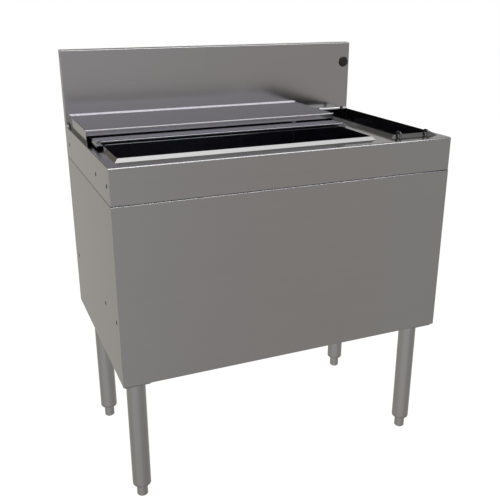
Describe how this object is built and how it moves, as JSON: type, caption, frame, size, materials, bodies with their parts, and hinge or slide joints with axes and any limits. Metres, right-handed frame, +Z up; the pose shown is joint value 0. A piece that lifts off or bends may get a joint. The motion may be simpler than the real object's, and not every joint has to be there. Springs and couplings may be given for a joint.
{
  "type": "underbar ice bin",
  "caption": "Freestanding stainless bar ice bin on tubular legs with a backsplash, a stepped pair of lids, one of them sliding, and a narrow bottle well with a hanging wire rack.",
  "frame": {"origin": "centre of the bounding box in plan, on the floor under the feet", "axes": "X runs across the unit to the right as seen from the front, Y runs from the front apron to the back, Z is up"},
  "size_m": [0.762, 0.4826, 0.943],
  "materials": {
    "brushed_stainless": "brushed to a fine grain, welds ground flush",
    "liner_stainless": "smooth drawn sheet, bright enough to mirror the walls",
    "galvanized_steel": "dull zinc coating",
    "rack_wire": "polished round wire",
    "black_plastic": "moulded, slightly glossy",
    "gasket_rubber": "matt",
    "insulation_foam": "rigid foam with an open cut face",
    "foot_plastic": "moulded"
  },
  "bodies": {
    "cabinet": {"deck_pan": "brushed_stainless", "backsplash": "brushed_stainless", "backsplash_left_end": "brushed_stainless", "backsplash_right_end": "brushed_stainless", "front_panel": "brushed_stainless", "left_side_panel": "brushed_stainless", "right_side_panel": "brushed_stainless", "ice_bin_rim": "brushed_stainless", "bottle_well_rim": "brushed_stainless", "leg_tube_front_left": "brushed_stainless", "leg_tube_front_right": "brushed_stainless", "leg_tube_rear_left": "brushed_stainless", "leg_tube_rear_right": "brushed_stainless", "ice_bin_liner": "liner_stainless", "bottle_well_liner": "liner_stainless", "drain_strainer": "liner_stainless", "drain_fitting": "liner_stainless", "drain_locknut": "liner_stainless", "drain_tailpiece": "liner_stainless", "rear_panel": "galvanized_steel", "bottom_pan": "galvanized_steel", "left_leg_channel": "galvanized_steel", "right_leg_channel": "galvanized_steel", "leg_socket_front_left": "galvanized_steel", "leg_socket_front_right": "galvanized_steel", "leg_socket_rear_left": "galvanized_steel", "leg_socket_rear_right": "galvanized_steel", "backsplash_plug": "black_plastic", "drain_gasket": "gasket_rubber", "foam_front": "insulation_foam", "foam_back": "insulation_foam", "foam_left": "insulation_foam", "foam_right": "insulation_foam", "foam_bottom": "insulation_foam", "foot_insert_front_left": "foot_plastic", "foot_insert_front_right": "foot_plastic", "foot_insert_rear_left": "foot_plastic", "foot_insert_rear_right": "foot_plastic"},
    "front_cover": {"front_cover": "brushed_stainless"},
    "rear_cover": {"rear_cover": "brushed_stainless"},
    "bottle_rack": {"rack_hanger_left": "rack_wire", "rack_hanger_right": "rack_wire", "rack_cross_wires": "rack_wire"},
    "foot_front_left_body": {"foot_front_left": "brushed_stainless"},
    "foot_front_right_body": {"foot_front_right": "brushed_stainless"},
    "foot_rear_left_body": {"foot_rear_left": "brushed_stainless"},
    "foot_rear_right_body": {"foot_rear_right": "brushed_stainless"}
  },
  "joints": [
    {"name": "front_cover_slide", "type": "slide", "parent": "cabinet", "child": "front_cover", "axis": [0, -1, 0], "range_m": [-0.04, 0.134]},
    {"name": "rear_cover_lift", "type": "slide", "parent": "cabinet", "child": "rear_cover", "axis": [0, 0, 1], "range_m": [0, 0.06]},
    {"name": "bottle_rack_lift", "type": "slide", "parent": "cabinet", "child": "bottle_rack", "axis": [0, 0, 1], "range_m": [0, 0.215]},
    {"name": "foot_front_left_screw", "type": "slide", "parent": "cabinet", "child": "foot_front_left_body", "axis": [0, 0, -1], "range_m": [0, 0.025]},
    {"name": "foot_front_right_screw", "type": "slide", "parent": "cabinet", "child": "foot_front_right_body", "axis": [0, 0, -1], "range_m": [0, 0.025]},
    {"name": "foot_rear_left_screw", "type": "slide", "parent": "cabinet", "child": "foot_rear_left_body", "axis": [0, 0, -1], "range_m": [0, 0.025]},
    {"name": "foot_rear_right_screw", "type": "slide", "parent": "cabinet", "child": "foot_rear_right_body", "axis": [0, 0, -1], "range_m": [0, 0.025]}
  ]
}
